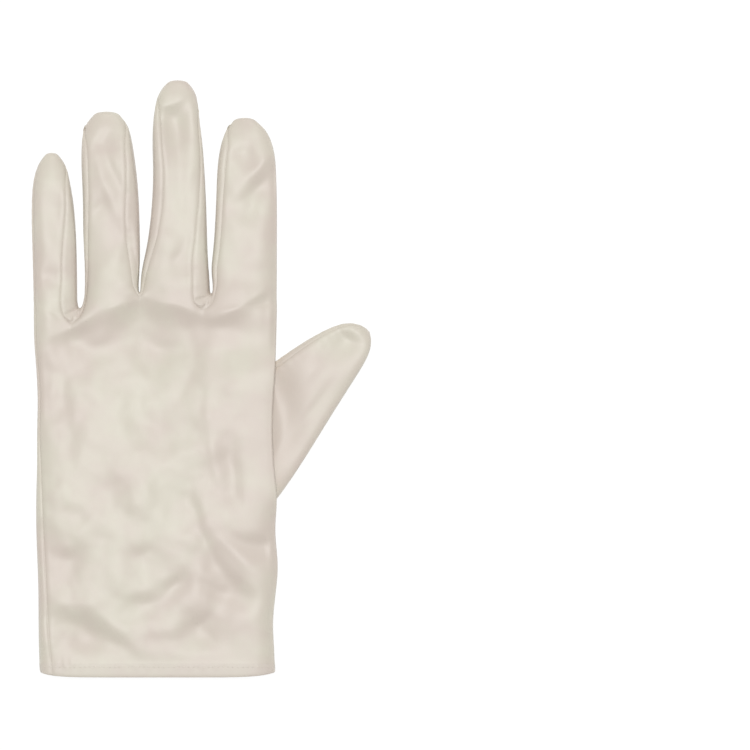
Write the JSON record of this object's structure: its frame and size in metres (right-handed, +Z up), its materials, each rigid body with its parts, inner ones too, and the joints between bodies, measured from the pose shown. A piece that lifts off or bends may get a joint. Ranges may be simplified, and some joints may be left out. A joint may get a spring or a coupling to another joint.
{
  "type": "short glove",
  "caption": "Plain short satin dress glove for the left hand, lying flat on its palm, with sewn-in fourchettes, a set-in thumb and a narrow wrist hem, open and hollow inside.",
  "frame": {"origin": "on the surface that the glove lies on, under the middle of its box", "axes": "+Y from the wrist to the fingertips, +X to the thumb's side, +Z up out of the back of the hand"},
  "size_m": [0.1308, 0.23, 0.0136],
  "materials": {
    "satin": "ivory stretch satin, soft sheen",
    "hem": "ivory stretch satin, folded double and stitched"
  },
  "bodies": {
    "root": {"hand_piece": "satin", "fourchette_little_ring": "satin", "fourchette_ring_middle": "satin", "fourchette_middle_index": "satin", "thumb": "satin", "wrist_hem": "hem"}
  },
  "joints": []
}
